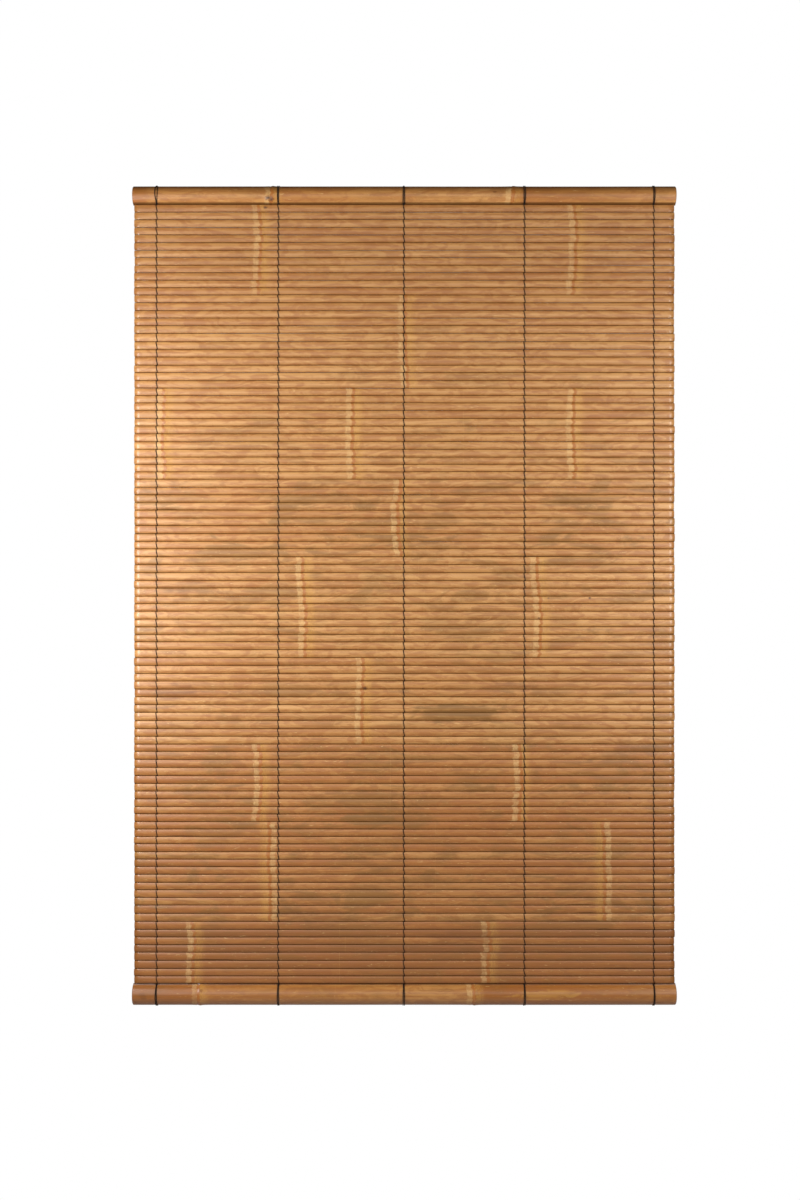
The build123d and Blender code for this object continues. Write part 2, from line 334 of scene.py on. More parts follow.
class Net:
    """Adds nodes to one node tree and links them."""

    def __init__(self, tree):
        self.tree = tree

    def add(self, kind, inputs=None, **settings):
        node = self.tree.nodes.new(kind)
        for key, value in settings.items():
            setattr(node, key, value)
        for key, value in (inputs or {}).items():
            socket = node.inputs[key]
            if isinstance(value, bpy.types.NodeSocket):
                self.tree.links.new(value, socket)
            else:
                socket.default_value = value
        return node

    def math(self, operation, first, second=0.5, third=0.5, clamp=False):
        inputs = {0: first, 1: second, 2: third}
        return self.add("ShaderNodeMath", inputs, operation=operation, use_clamp=clamp).outputs[0]

    def vector(self, operation, first, second):
        return self.add("ShaderNodeVectorMath", {0: first, 1: second}, operation=operation).outputs[0]

    def length(self, vector):
        return self.add("ShaderNodeVectorMath", {0: vector}, operation="LENGTH").outputs["Value"]

    def ramp(self, value, low, high, to_low=0.0, to_high=1.0, kind="SMOOTHSTEP"):
        """value from low..high becomes to_low..to_high."""
        inputs = {"Value": value, "From Min": low, "From Max": high, "To Min": to_low, "To Max": to_high}
        return self.add("ShaderNodeMapRange", inputs, interpolation_type=kind).outputs[0]

    def mix(self, factor, first, second, blend="MIX"):
        node = self.add("ShaderNodeMix", data_type="RGBA", blend_type=blend)
        for socket, value in ((node.inputs[0], factor), (node.inputs[6], first), (node.inputs[7], second)):
            if isinstance(value, bpy.types.NodeSocket):
                self.tree.links.new(value, socket)
            else:
                socket.default_value = value
        return node.outputs[2]

    def noise(self, vector, scale, detail=3.0, rough=0.55, warp=0.0):
        inputs = {"Vector": vector, "Scale": scale, "Detail": detail, "Roughness": rough, "Distortion": warp}
        return self.add("ShaderNodeTexNoise", inputs).outputs[0]

    def stretch(self, vector, scale):
        return self.add("ShaderNodeMapping", {"Vector": vector, "Scale": scale}).outputs[0]

    def shift(self, vector, value, by=(17.0, 3.0, 5.0)):
        """vector moved by value times by, so that each slat has its own pattern."""
        offset = self.add("ShaderNodeVectorMath", {0: by, 3: value}, operation="SCALE").outputs[0]
        return self.vector("ADD", vector, offset)

    def attribute(self, name):
        return self.add("ShaderNodeAttribute", attribute_name=name).outputs["Fac"]

    def place(self):
        return self.add("ShaderNodeTexCoord").outputs["Object"]

    def group(self, tree, inputs):
        return self.add("ShaderNodeGroup", inputs, node_tree=tree)


def shader_group(name, inputs, outputs):
    """An empty node group with these sockets: (name, kind, default). Returns its net and end nodes."""
    tree = bpy.data.node_groups.new(name, "ShaderNodeTree")
    for label, kind, default in inputs:
        socket = tree.interface.new_socket(label, in_out="INPUT", socket_type=kind)
        if default is not None:
            socket.default_value = default
    for label, kind in outputs:
        tree.interface.new_socket(label, in_out="OUTPUT", socket_type=kind)
    net = Net(tree)
    return tree, net, net.add("NodeGroupInput").outputs, net.add("NodeGroupOutput").inputs


FLOAT, VECTOR = "NodeSocketFloat", "NodeSocketVector"


def make_fibre_group():
    """Bamboo grain along X: fine streaks, soft bands and specks, from a place already moved for each slat."""
    tree, net, given, out = shader_group(
        "bamboo_fibre",
        [("Own", VECTOR, None), ("Place", VECTOR, None)],
        [
            ("Streak", FLOAT),
            ("Band", FLOAT),
            ("Blotch", FLOAT),
            ("Cloud", FLOAT),
            ("Scratch", FLOAT),
            ("Speck", FLOAT),
        ],
    )
    place = given["Own"]
    streak = net.noise(net.stretch(place, (9, 300, 1400)), 1.0, 4.0, 0.62)
    band = net.noise(net.stretch(place, (5, 80, 210)), 1.0, 3.0, 0.5, 0.4)
    blotch = net.noise(net.stretch(given["Place"], (9, 24, 28)), 1.0, 5.0, 0.65, 0.9)
    cloud = net.noise(net.stretch(given["Place"], (20, 40, 70)), 1.0, 6.0, 0.62, 1.6)
    scratch = net.noise(net.stretch(place, (60, 300, 420)), 1.0, 2.0, 0.5, 1.5)
    speck = net.noise(net.stretch(place, (240, 300, 700)), 1.0, 2.0, 0.6)
    links = net.tree.links
    links.new(net.ramp(streak, 0.30, 0.70), out["Streak"])
    links.new(net.ramp(band, 0.33, 0.67), out["Band"])
    links.new(net.ramp(blotch, 0.47, 0.62), out["Blotch"])
    links.new(net.ramp(cloud, 0.42, 0.61), out["Cloud"])
    links.new(net.ramp(scratch, 0.66, 0.74), out["Scratch"])
    links.new(net.ramp(speck, 0.70, 0.78), out["Speck"])
    return tree


def make_node_group():
    """The marks over a culm's node: pale scraped fibres on both sides of a thin brown line."""
    tree, net, given, out = shader_group(
        "culm_node",
        [("Place", VECTOR, None), ("Along", FLOAT, 1.0), ("Across", FLOAT, 0.0)],
        [("Pale", FLOAT), ("Faint", FLOAT), ("Line", FLOAT), ("Ridge", FLOAT)],
    )
    ragged = net.noise(net.stretch(given["Place"], (70, 70, 260)), 1.0, 3.0, 0.6)
    ragged = net.ramp(ragged, 0.25, 0.75, -0.0024, 0.0024, "LINEAR")
    bow = net.math("MULTIPLY", net.math("POWER", given["Across"], 2.0), 0.0022)
    along = net.math("ADD", net.math("ADD", given["Along"], ragged), bow)
    left = net.math(
        "MULTIPLY", net.ramp(along, -0.0150, -0.0128), net.ramp(along, -0.0052, -0.0030, 1.0, 0.0)
    )
    right = net.math(
        "MULTIPLY", net.ramp(along, 0.0008, 0.0030), net.ramp(along, 0.0060, 0.0220, 1.0, 0.0)
    )
    fine = net.ramp(net.noise(net.stretch(given["Place"], (500, 300, 160)), 1.0, 3.0, 0.6), 0.35, 0.65)
    line = net.math("MULTIPLY", net.ramp(along, -0.0048, -0.0030), net.ramp(along, 0.0004, 0.0026, 1.0, 0.0))
    near = net.math("ABSOLUTE", net.math("ADD", given["Along"], 0.0012))
    links = net.tree.links
    rubbed = net.noise(net.stretch(given["Place"], (60, 30, 150)), 1.0, 2.0, 0.5)
    left = net.math("MULTIPLY", left, net.ramp(rubbed, 0.35, 0.6, 0.35, 1.0))
    links.new(net.math("MULTIPLY", left, net.ramp(fine, 0.0, 1.0, 0.55, 1.0)), out["Pale"])
    links.new(net.math("MULTIPLY", right, net.ramp(fine, 0.0, 1.0, 0.25, 0.6)), out["Faint"])
    links.new(line, out["Line"])
    links.new(net.ramp(near, 0.0, 0.004, 1.0, 0.0), out["Ridge"])
    return tree


def make_bud_group():
    """A brown bud scar round a point of the skin, with a darker eye."""
    tree, net, given, out = shader_group(
        "bud_scar",
        [("Place", VECTOR, None), ("Middle", VECTOR, None), ("Size", FLOAT, 0.006)],
        [("Brown", FLOAT), ("Eye", FLOAT)],
    )
    wobble = net.noise(net.stretch(given["Place"], (260, 100, 260)), 1.0, 2.0, 0.5)
    off = net.vector("SUBTRACT", given["Place"], given["Middle"])
    flat = net.vector("MULTIPLY", off, (0.8, 0.0, 1.25))
    far = net.math("DIVIDE", net.length(flat), given["Size"])
    far = net.math("ADD", far, net.ramp(wobble, 0.2, 0.8, -0.35, 0.35, "LINEAR"))
    links = net.tree.links
    links.new(net.ramp(far, 0.35, 1.0, 1.0, 0.0), out["Brown"])
    links.new(net.ramp(far, 0.15, 0.42, 1.0, 0.0), out["Eye"])
    return tree


def make_stain_group():
    """A ragged weathered patch of a given middle and half size."""
    tree, net, given, out = shader_group(
        "stain",
        [("Place", VECTOR, None), ("Middle", VECTOR, None), ("Size", VECTOR, None)],
        [("Stain", FLOAT)],
    )
    torn = net.noise(net.stretch(given["Place"], (28, 30, 90)), 1.0, 4.0, 0.6, 0.6)
    off = net.vector("SUBTRACT", given["Place"], given["Middle"])
    flat = net.vector("MULTIPLY", net.vector("DIVIDE", off, given["Size"]), (1.0, 0.0, 1.0))
    far = net.length(flat)
    far = net.math("ADD", far, net.ramp(torn, 0.25, 0.75, -0.6, 0.6, "LINEAR"))
    net.tree.links.new(net.ramp(far, 0.55, 1.05, 1.0, 0.0), out["Stain"])
    return tree


FIBRE = make_fibre_group()
STAIN = make_stain_group()
NODE_MARK = make_node_group()
BUD = make_bud_group()


def material(name, roughness=0.5, metallic=0.0):
    made = bpy.data.materials.new(name)
    made.use_nodes = True
    net = Net(made.node_tree)
    shader = made.node_tree.nodes["Principled BSDF"]
    shader.inputs["Roughness"].default_value = roughness
    shader.inputs["Metallic"].default_value = metallic
    return made, net, shader


def bamboo_skin(name, buds, stains, roughness, coat, side_shade_and_wear):
    """Lacquered bamboo skin. Its pieces carry tone, green, seed, along (to the nearest node) and across.
    Its last argument, from 0 to 1, is how much painted shade darkens it towards across -1, how dull its coat
    grows there, and how little blond it shows. Its edges are darkened with painted shade for the gaps between
    pieces."""
    made, net, shader = material(name, roughness)
    shader.inputs["Coat Roughness"].default_value = COAT_ROUGHNESS
    own = net.shift(net.place(), net.attribute("seed"))
    fibre = net.group(FIBRE, {"Own": own, "Place": net.place()}).outputs
    node = net.group(
        NODE_MARK,
        {"Place": own, "Along": net.attribute("along"), "Across": net.attribute("across")},
    ).outputs
    tone = net.attribute("tone")
    colour = net.mix(net.ramp(tone, 0.0, 0.55, kind="LINEAR"), PALE_TAN, GOLD)
    colour = net.mix(net.ramp(tone, 0.5, 1.0, kind="LINEAR"), colour, ORANGE)
    colour = net.mix(net.ramp(tone, 1.0, 1.6, 0.0, 0.8, "LINEAR"), colour, DEEP)
    for layer, share, shade in LOWER_LAYERS:
        colour = net.mix(net.math("MULTIPLY", fibre[layer], share), colour, shade)
    fresh = net.ramp(tone, 0.4, 1.2, 1.0, 0.25, "LINEAR")
    for layer, share in BLOND_LAYERS:
        faded = net.ramp(fibre[layer], 0.0, 0.65, share * (1 - side_shade_and_wear), 0.0)
        colour = net.mix(net.math("MULTIPLY", faded, fresh), colour, BLOND)
    colour = net.mix(net.math("MULTIPLY", fibre["Streak"], STREAK_SHARE), colour, DEEP)
    green = net.math("MULTIPLY", net.attribute("green"), fibre["Blotch"])
    colour = net.mix(net.math("MULTIPLY", green, GREEN_SHARE), colour, OLIVE)
    for layer, share, shade in UPPER_LAYERS:
        colour = net.mix(net.math("MULTIPLY", fibre[layer], share), colour, shade)
    for layer, share, shade in NODE_LAYERS:
        colour = net.mix(net.math("MULTIPLY", node[layer], share), colour, shade)
    for middle, size in buds:
        scar = net.group(BUD, {"Place": net.place(), "Middle": middle, "Size": size}).outputs
        colour = net.mix(net.math("MULTIPLY", scar["Brown"], SCAR_SHARE), colour, DEEP)
        colour = net.mix(net.math("MULTIPLY", scar["Eye"], EYE_SHARE), colour, SCAR_EYE)
    for middle, size, shade, strength in stains:
        spot = net.group(STAIN, {"Place": net.place(), "Middle": middle, "Size": size}).outputs["Stain"]
        banded = net.ramp(fibre["Band"], 0.0, 1.0, 0.5 * strength, strength, "LINEAR")
        colour = net.mix(net.math("MULTIPLY", spot, banded), colour, shade)
    # Painted shade: darker towards across -1, on a slat's lower side and on a rail's far side (the head
    # rail's top, the bottom rail's underside).
    painted_side_shade = net.ramp(net.attribute("across"), -0.95, 0.0, side_shade_and_wear, 0.0)
    colour = net.mix(painted_side_shade, colour, DEEP)
    # Painted shade: a dark band along the edges beside the gaps between pieces, where the gaps lie in shade.
    edge = net.ramp(net.math("ABSOLUTE", net.attribute("across")), 0.89, 0.99)
    colour = net.mix(net.math("MULTIPLY", edge, EDGE_SHADE_SHARE), colour, GAP_SHADE)
    inside = net.math("SUBTRACT", 1.0, edge)
    inside = net.math("MULTIPLY", inside, net.ramp(net.attribute("across"), -0.82, -0.2, 1.0 - side_shade_and_wear, 1.0))
    net.tree.links.new(net.math("MULTIPLY", inside, coat), shader.inputs["Coat Weight"])
    net.tree.links.new(net.math("MULTIPLY", inside, 0.5), shader.inputs["Specular IOR Level"])
    gloss = net.ramp(fibre["Streak"], 0, 1, roughness - 0.06, roughness + 0.08, "LINEAR")
    gloss = net.math("ADD", gloss, net.math("MULTIPLY", node["Pale"], 0.2))
    height = net.math("MULTIPLY", net.math("ADD", fibre["Streak"], fibre["Band"]), 0.5)
    height = net.math("SUBTRACT", height, net.math("MULTIPLY", node["Line"], 0.8))
    bump = net.add("ShaderNodeBump", {"Strength": 0.25, "Distance": 0.0002, "Height": height})
    net.tree.links.new(colour, shader.inputs["Base Color"])
    net.tree.links.new(gloss, shader.inputs["Roughness"])
    net.tree.links.new(bump.outputs[0], shader.inputs["Normal"])
    return made


def bamboo_inner(name):
    """The sawn and split faces: straw-coloured fibre bundles, dull, and darkened with painted shade towards
    the edges that lie in the gaps.
    """
    made, net, shader = material(name, 0.75)
    own = net.shift(net.place(), net.attribute("seed"))
    fibre = net.group(FIBRE, {"Own": own, "Place": net.place()}).outputs
    bundles = net.noise(net.stretch(net.place(), (40, 2600, 2600)), 1.0, 2.0, 0.5)
    colour = net.mix(net.ramp(net.attribute("tone"), 0.0, 1.0, kind="LINEAR"), STRAW, GOLD)
    colour = net.mix(net.math("MULTIPLY", fibre["Band"], 0.5), colour, GOLD)
    colour = net.mix(net.math("MULTIPLY", fibre["Streak"], 0.35), colour, DEEP)
    colour = net.mix(net.ramp(bundles, 0.5, 0.7, 0.0, 0.35), colour, DEEP)
    colour = net.mix(net.math("MULTIPLY", fibre["Blotch"], 0.25), colour, OLIVE)
    # Painted shade: the split faces darken towards the edges, inside the gaps between pieces.
    side = net.ramp(net.math("ABSOLUTE", net.attribute("across")), 0.93, 0.99, 0.0, 0.85)
    colour = net.mix(side, colour, GAP_SHADE)
    height = net.math("ADD", net.math("MULTIPLY", fibre["Streak"], 0.7), net.math("MULTIPLY", bundles, 0.6))
    bump = net.add("ShaderNodeBump", {"Strength": 0.5, "Distance": 0.0003, "Height": height})
    net.tree.links.new(colour, shader.inputs["Base Color"])
    net.tree.links.new(bump.outputs[0], shader.inputs["Normal"])
    return made


def twine(name):
    """Dark brown two-ply twine: slanting plies and loose fibres."""
    made, net, shader = material(name, 0.8)
    place = net.place()
    plies = net.add(
        "ShaderNodeTexWave",
        {"Vector": net.stretch(place, (1.0, 0.6, 0.55)), "Scale": 480.0, "Distortion": 1.2, "Detail": 1.0},
        wave_type="BANDS",
        bands_direction="DIAGONAL",
    ).outputs["Fac"]
    fuzz = net.noise(net.stretch(place, (3500, 3500, 2200)), 1.0, 3.0, 0.6)
    colour = net.mix(net.ramp(plies, 0.15, 0.8), TWINE_DARK, TWINE_LIGHT)
    colour = net.mix(net.ramp(fuzz, 0.55, 0.75, 0.0, 0.5), colour, TWINE_FUZZ)
    height = net.math("ADD", plies, net.math("MULTIPLY", fuzz, 0.5))
    bump = net.add("ShaderNodeBump", {"Strength": 0.6, "Distance": 0.0004, "Height": height})
    net.tree.links.new(colour, shader.inputs["Base Color"])
    net.tree.links.new(bump.outputs[0], shader.inputs["Normal"])
    shader.inputs["Specular IOR Level"].default_value = 0.15
    return made


def zinc_steel(name):
    """Zinc-plated sheet and screws: a soft grey metal with faint brushing and dull patches."""
    made, net, shader = material(name, 0.4, 1.0)
    place = net.place()
    brushed = net.noise(net.stretch(place, (900, 900, 60)), 1.0, 3.0, 0.6)
    dull = net.noise(place, 160.0, 3.0, 0.6)
    colour = net.mix(net.ramp(dull, 0.35, 0.7), ZINC, ZINC_DULL)
    net.tree.links.new(colour, shader.inputs["Base Color"])
    gloss = net.ramp(net.math("ADD", brushed, dull), 0.7, 1.3, 0.28, 0.5)
    net.tree.links.new(gloss, shader.inputs["Roughness"])
    bump = net.add("ShaderNodeBump", {"Strength": 0.15, "Distance": 0.0001, "Height": brushed})
    net.tree.links.new(bump.outputs[0], shader.inputs["Normal"])
    return made


# ---------------------------------------------------------------- slats

def chain_of_bodies():
    """The moving bodies from the head down, as the joints join them."""
    below = {joint["parent"]: joint["child"] for joint in frame["joints"]}
    chain = [next(body for body in frame["bodies"] if body not in below.values())]
    while chain[-1] in below:
        chain.append(below[chain[-1]])
    return chain


def culm_of(number):
    """The entry of CULMS that this slat comes from, and how far down its batch it lies, from 0 to 1."""
    first = 1
    for culm in CULMS:
        if number < first + culm[0]:
            return culm, (number - first) / culm[0]
        first += culm[0]
    return CULMS[-1], 1.0


def split_at(gap, x):
    """The split between slat number gap and the next at this X: how far its middle strays upwards, and how
    much wider than usual it is."""
    wide = SKIN_OPENING * max(0.0, wander(gap + 0.5, x, 0.16))
    if not 0 < gap < SLAT_TOTAL:
        return 0.0, wide
    return EDGE_WANDER * (wander(gap, x, 0.33) + 0.3 * wander(gap, x, 0.07)), wide


class Slat:
    """One slat: its place from the CAD solid, and what its culm gave it."""

    def __init__(self, number, body, low, high):
        self.number, self.body, self.low, self.high = number, body, low, high
        culm, down = culm_of(number)
        self.seed = number * 0.137
        drift = NODE_DRIFT * wander(culm[1][0] * 50 + 3, down * 2.2, 1.0)
        self.nodes = [x + drift + random.uniform(-NODE_STRAY, NODE_STRAY) for x in culm[1]]
        self.tone = min(max(culm[2] + random.uniform(-TONE_SPREAD, TONE_SPREAD), 0.0), 1.6)
        self.green = min(max(culm[3] + random.uniform(-GREEN_SPREAD, GREEN_SPREAD), 0.0), 1.0)
        self.grown = culm[4]
        self.splits = [split[1:] for split in SPLIT_EDGES if split[0] == number]

    def middle_z(self):
        return (self.low.z + self.high.z) / 2

    def nearest_node(self, x):
        return min((x - node for node in self.nodes), key=abs)

    def edge_shift(self, x, upper, front):
        """How far the upper or lower edge stands off its straight line at this X, upwards. front is 1 at the
        skin and 0 at the back."""
        middle, wide = split_at(self.number - upper, x)
        out = 1 if upper else -1
        slant = SPLIT_SLANT + SLANT_GROWTH * (self.number - upper) / SLAT_TOTAL
        shift = middle + slant * (front - 0.5) + out * front * (SKIN_OVERHANG - wide)
        if not upper:
            for x_split, length, depth in self.splits:
                shift += front * depth * smooth(1.6 - abs(x - x_split) / length * 3.2)
        return shift

    def ridge(self, x):
        away = self.nearest_node(x)
        swell = 0.35 * bump_at(away, 0.009) + bump_at(away, RIDGE_WIDTH)
        return RIDGE_HEIGHT * (swell - 0.8 * bump_at(away + 0.0028, 0.0012))


def stations(start, end, count, nodes, extra, reach):
    """X of each ring along a piece: even steps, and finer ones over each node."""
    places = [start + (end - start) * i / count for i in range(count + 1)]
    for node in nodes:
        if start + reach < node < end - reach:
            places = [x for x in places if abs(x - node) > reach]
            places += [node - reach + 2 * reach * i / extra for i in range(extra + 1)]
    return sorted(places)


def slat_section(slat):
    """(Y, Z, skin) round a slat's section: flat back, eased corners and crowned skin."""
    low, high = slat.low, slat.high
    half = (high.z - low.z) / 2
    middle = slat.middle_z()
    back = [(high.y - EDGE_ROUND, middle + half), (high.y, middle + half - EDGE_ROUND)]
    back += [(high.y, middle - half + EDGE_ROUND), (high.y - EDGE_ROUND, middle - half)]
    skin = []
    for across in SKIN_POINTS:
        eased = EDGE_ROUND * max(0.0, (abs(across) - 0.87) / 0.13) ** 2
        skin.append((low.y + SKIN_CROWN * across**2 + eased, middle + half * across))
    return back, skin


def extruded(section, skin_count, places):
    """A bmesh of a closed section drawn in YZ and drawn out along X, a ring of points at each place. The
    section's last skin_count points are skin; every other long face is a split face."""
    shape = bmesh.new()
    ring = [shape.verts.new((places[0], y, z)) for y, z in section]
    face = shape.faces.new(ring)
    face.material_index = INNER
    count = len(section)
    drawn = bmesh.ops.extrude_face_region(shape, geom=[face])
    moved = [item for item in drawn["geom"] if isinstance(item, bmesh.types.BMVert)]
    bmesh.ops.translate(shape, verts=moved, vec=(places[-1] - places[0], 0, 0))
    long_edges = [edge for edge in shape.edges if abs(edge.verts[0].co.x - edge.verts[1].co.x) > 1e-5]
    bmesh.ops.subdivide_edges(shape, edges=long_edges, cuts=len(places) - 2, use_grid_fill=False)
    step = (places[-1] - places[0]) / (len(places) - 1)
    for vert in shape.verts:
        vert.co.x = places[round((vert.co.x - places[0]) / step)]
    skin_points = {(round(y, 7), round(z, 7)) for y, z in section[count - skin_count:]}
    for face in shape.faces:
        middle = face.calc_center_median()
        ends = {(round(v.co.y, 7), round(v.co.z, 7)) for v in face.verts}
        capped = abs(face.normal.x) > 0.9 or abs(middle.x - places[0]) < 1e-7
        face.material_index = SKIN if ends <= skin_points and not capped else INNER
        face.smooth = not capped
    bmesh.ops.recalc_face_normals(shape, faces=shape.faces)
    return shape


def write_attribute(mesh, name, values):
    layer = mesh.attributes.new(name, "FLOAT", "POINT")
    layer.data.foreach_set("value", values)


def slat_mesh(slat):
    """A detailed slat: wandering edges, a low ridge at each node, and its colouring as attributes."""
    back, skin = slat_section(slat)
    places = stations(slat.low.x, slat.high.x, SLAT_STATIONS, slat.nodes, NODE_STATIONS, NODE_REACH)
    shape = extruded(back + skin, len(skin), places)
    half = (slat.high.z - slat.low.z) / 2
    middle = slat.middle_z()
    depth = slat.high.y - slat.low.y - SKIN_CROWN - EDGE_ROUND
    rest = [vert.co.copy() for vert in shape.verts]
    for vert in shape.verts:
        x = vert.co.x
        across = (vert.co.z - middle) / half
        front = min((slat.high.y - vert.co.y) / depth, 1.0)
        upper, lower = slat.edge_shift(x, True, front), slat.edge_shift(x, False, front)
        shift = upper * (across + 1) / 2 + lower * (1 - across) / 2
        bow = BOW * wander(slat.number + 300, x, 0.22)
        vert.co.z += shift
        vert.co.y += bow - front * slat.ridge(x)
        end = min(x - places[0], places[-1] - x)
        if end < 1e-6:
            vert.co.x += END_SAG * (abs(across) ** 6) * (1 if x < 0 else -1)
    mesh = bpy.data.meshes.new("slat")
    shape.to_mesh(mesh)
    shape.free()
    write_attribute(mesh, "across", [(co.z - middle) / half for co in rest])
    write_attribute(mesh, "along", [slat.grown * slat.nearest_node(co.x) for co in rest])
    tones = [slat.tone + TONE_DRIFT * wander(slat.number + 70, co.x, 0.3) for co in rest]
    write_attribute(mesh, "tone", tones)
    write_attribute(mesh, "green", [slat.green] * len(rest))
    write_attribute(mesh, "seed", [slat.seed] * len(rest))
    return mesh


def joined(name, meshes, materials):
    """One object that holds these meshes."""
    parts = []
    for mesh in meshes:
        parts.append(new_object(name, mesh, materials))
    with bpy.context.temp_override(active_object=parts[0], selected_editable_objects=parts):
        if len(parts) > 1:
            bpy.ops.object.join()
    parts[0].name = name
    parts[0].data.name = name
    return parts[0]


def make_slats(chain, materials):
    """Each body's slats as one piece that stands for its CAD node."""
    slats = []
    for body in chain:
        for node in frame["record"]["behaviour"]["bodies"][body]:
            if not node.startswith("slat"):
                continue
            mine = []
            for low, high in solids_of(node):
                mine.append(Slat(len(slats) + 1, body, low, high))
                slats.append(mine[-1])
            piece = joined("bamboo_" + node, [slat_mesh(slat) for slat in mine], materials)
            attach(piece, body)
            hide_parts(node)
    return slats


# ---------------------------------------------------------------- rails

def rail_section(low, high, wall):
    """(Y, Z) round a split culm: the hollow's arc first, then the skin's arc."""
    radius = (high.z - low.z) / 2
    middle = (high.z + low.z) / 2
    turns = [math.pi * (0.5 + i / RAIL_ARC) for i in range(RAIL_ARC + 1)]
    inner = [((radius - wall) * math.cos(t), (radius - wall) * math.sin(t)) for t in reversed(turns)]
    outer = [(radius * math.cos(t), radius * math.sin(t)) for t in turns]
    return [(high.y + y, middle + z) for y, z in inner], [(high.y + y, middle + z) for y, z in outer]


def add_web(shape, x, axis, radius):
    """The woody disc inside a split culm at a node. Returns where its points lie."""
    ring = []
    for i in range(RAIL_ARC + 1):
        turn = math.pi * (0.5 + i / RAIL_ARC)
        y, z = axis.y - WEB_INSET + radius * math.cos(turn), axis.z + radius * math.sin(turn)
        ring.append(shape.verts.new((x - WEB_THICKNESS / 2, y, z)))
    face = shape.faces.new(ring)
    drawn = bmesh.ops.extrude_face_region(shape, geom=[face])
    moved = [item for item in drawn["geom"] if isinstance(item, bmesh.types.BMVert)]
    bmesh.ops.translate(shape, verts=moved, vec=(WEB_THICKNESS, 0, 0))
    faces = {face for vert in ring + moved for face in vert.link_faces}
    for face in faces:
        face.material_index = INNER
    bmesh.ops.recalc_face_normals(shape, faces=list(faces))
    return [vert.co.copy() for vert in ring + moved]


def make_rail(node, body, wall, nodes, tones, buds, materials):
    """A split culm with its node ridges, worn ends and the web inside each node."""
    low, high = solids_of(node)[0]
    radius = (high.z - low.z) / 2
    axis = Vector((0, high.y, (high.z + low.z) / 2))
    inner, outer = rail_section(low, high, wall)
    ends = [low.x + END_ROUND, high.x - END_ROUND]
    places = stations(low.x, high.x, RAIL_STATIONS, nodes, RAIL_NODE_STATIONS, RAIL_NODE_REACH)
    places = sorted(places + [end - math.copysign(END_ROUND * 0.4, end) for end in ends] + ends)
    shape = extruded(inner + outer, len(outer), places)
    rest = [vert.co.copy() for vert in shape.verts]
    for vert, co in zip(shape.verts, rest):
        off = Vector((0, co.y, co.z)) - axis
        away = min((co.x - x for x in nodes), key=abs)
        swell = 0.5 * bump_at(away, 0.012) + bump_at(away, 0.003) - 0.7 * bump_at(away + 0.004, 0.0016)
        grow = RAIL_RIDGE * swell - RAIL_WASTE * (1 + wander(axis.z * 3 + 9, co.x, 0.25))
        end = min(co.x - places[0], places[-1] - co.x)
        if end < END_ROUND and off.length > radius - wall * 0.5:
            grow -= (END_ROUND - end) ** 2 / END_ROUND
        for x, z, size, height in buds:
            grow += height * math.exp(-(((co.x - x) / size) ** 2) - ((co.z - z) / size) ** 2)
        if off.length > radius - wall * 0.5 and abs(off.y) > 1e-6:
            vert.co += off.normalized() * grow
    for x in nodes:
        rest += add_web(shape, x, axis, radius - wall / 2)
    mesh = bpy.data.meshes.new(node)
    shape.to_mesh(mesh)
    shape.free()
    toward, shade_stretch = (1, 1.0) if node == "bottom_rail" else (-1, HEAD_SHADE_STRETCH)  # toward is the slats' side

    def tone_at(x):
        for limit, tone_left, tone_right in tones:
            if x <= limit[1]:
                share = (x - limit[0]) / (limit[1] - limit[0])
                return tone_left + (tone_right - tone_left) * share
        return tones[-1][2]

    def across(co):
        """From -FAR_EDGE at the rail's far edge to 1 or more at the edge beside the slats."""
        share = toward * (co.z - axis.z) / radius
        return share * shade_stretch if share > 0 else FAR_EDGE * share

    write_attribute(mesh, "across", [across(co) for co in rest])
    write_attribute(mesh, "along", [min((co.x - x for x in nodes), key=abs) for co in rest])
    write_attribute(mesh, "tone", [tone_at(co.x) for co in rest])
    write_attribute(mesh, "green", [0.25] * len(rest))
    write_attribute(mesh, "seed", [axis.z * 3] * len(rest))
    piece = new_object("bamboo_" + node, mesh, materials)
    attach(piece, body)
    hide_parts(node)
    return piece


# ---------------------------------------------------------------- cords

def crossing(upper_z, lower_z, y, cord_x, going_back, stray):
    """Where a strand passes the gap between two slats."""
    aside = TWIST_REACH if going_back else -TWIST_REACH
    return Vector((cord_x + aside + stray, y, (upper_z + lower_z) / 2))


def face_points(slat, start, end, in_front):
    """A strand's middle line over one slat, from its crossing above to its crossing below."""
    low, high = slat.low, slat.high
    half = (high.z - low.z) / 2
    points = [start]
    for across, press in STRAND_PRESSES:
        share = (1 - across) / 2
        x = start.x + (end.x - start.x) * smooth(share)
        if in_front:
            y = low.y + SKIN_CROWN * min(abs(across), 1.0) ** 2 - STRAND_PRESS * press
        else:
            y = high.y + STRAND_PRESS * press
        points.append(Vector((x, y, slat.middle_z() + half * across)))
    return points + [end]


